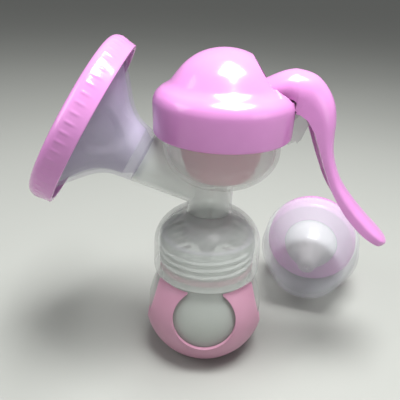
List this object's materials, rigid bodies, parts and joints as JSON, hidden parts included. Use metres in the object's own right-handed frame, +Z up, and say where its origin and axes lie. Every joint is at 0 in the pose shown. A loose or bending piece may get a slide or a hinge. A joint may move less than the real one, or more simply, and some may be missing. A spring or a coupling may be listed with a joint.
{
  "type": "manual breast pump",
  "caption": "Hand-worked breast pump: squeeze lever, hooded diaphragm bowl, lidded flange and globe bottle on a stand, with a capped spare nipple.",
  "frame": {"origin": "centre of the pump's flat underside, on the bottle's axis", "axes": "+Z up along the bottle, +X toward the squeeze handle, -X toward the flange"},
  "size_m": [0.1873, 0.1237, 0.166],
  "materials": {
    "pink": "glossy moulded polypropylene",
    "dusty_pink": "satin frosted polypropylene",
    "milky": "natural translucent polypropylene",
    "funnel": "natural translucent polypropylene",
    "clear": "clear polypropylene",
    "silicone": "soft clear silicone",
    "pink_silicone": "soft pink silicone",
    "white": "moulded white acetal"
  },
  "bodies": {
    "bottle_unit": {"bottle_stand": "dusty_pink", "stand_foot": "pink_silicone", "bottle": "milky", "neck_ring": "pink_silicone"},
    "head_rise": {"mouth_seal": "silicone"},
    "head": {"pump_body": "milky", "duckbill_valve": "pink_silicone", "flange_funnel": "funnel", "massage_cushion": "silicone", "diaphragm": "pink_silicone", "top_cover": "pink", "handle_pin": "white"},
    "lid": {"funnel_lid": "pink"},
    "lever": {"handle": "pink", "stem_pin": "white"},
    "plunger": {"stem": "white", "stem_washer": "white"},
    "nipple_set": {"nipple": "silicone", "nipple_ring": "pink", "nipple_seal_disc": "milky"},
    "set_cap": {"nipple_cap": "clear"}
  },
  "joints": [
    {"name": "head_lift", "type": "slide", "parent": "bottle_unit", "child": "head_rise", "axis": [0, 0, 1], "range_m": [0, 0.005]},
    {"name": "head_unscrew", "type": "hinge", "parent": "head_rise", "child": "head", "pos_m": [0, 0, 0.06], "axis": [0, 0, 1], "range_deg": [0, 450]},
    {"name": "lid_pull", "type": "slide", "parent": "head", "child": "lid", "axis": [-0.8771, 0, 0.4802], "range_m": [0, 0.04]},
    {"name": "handle_press", "type": "hinge", "parent": "head", "child": "lever", "pos_m": [0.046, 0, 0.138], "axis": [0, 1, 0], "range_deg": [0, 12], "stiffness_Nm_per_rad": 0.15},
    {"name": "stem_rise", "type": "slide", "parent": "head", "child": "plunger", "axis": [0, 0, 1], "range_m": [0, 0.0087], "deforming": ["diaphragm"]},
    {"name": "set_lift", "type": "slide", "parent": "bottle_unit", "child": "nipple_set", "axis": [0, 0, 1], "range_m": [0, 0.0011]},
    {"name": "cap_pull", "type": "slide", "parent": "nipple_set", "child": "set_cap", "axis": [-0.2588, -0.9659, 0], "range_m": [0, 0.036]}
  ],
  "couplings": [
    {"joint": "head_lift", "follows": "head_unscrew", "m_per_rad": 0.00063662},
    {"joint": "stem_rise", "follows": "handle_press", "m_per_rad": 0.04149},
    {"joint": "set_lift", "follows": "cap_pull", "ratio": 0.03}
  ]
}
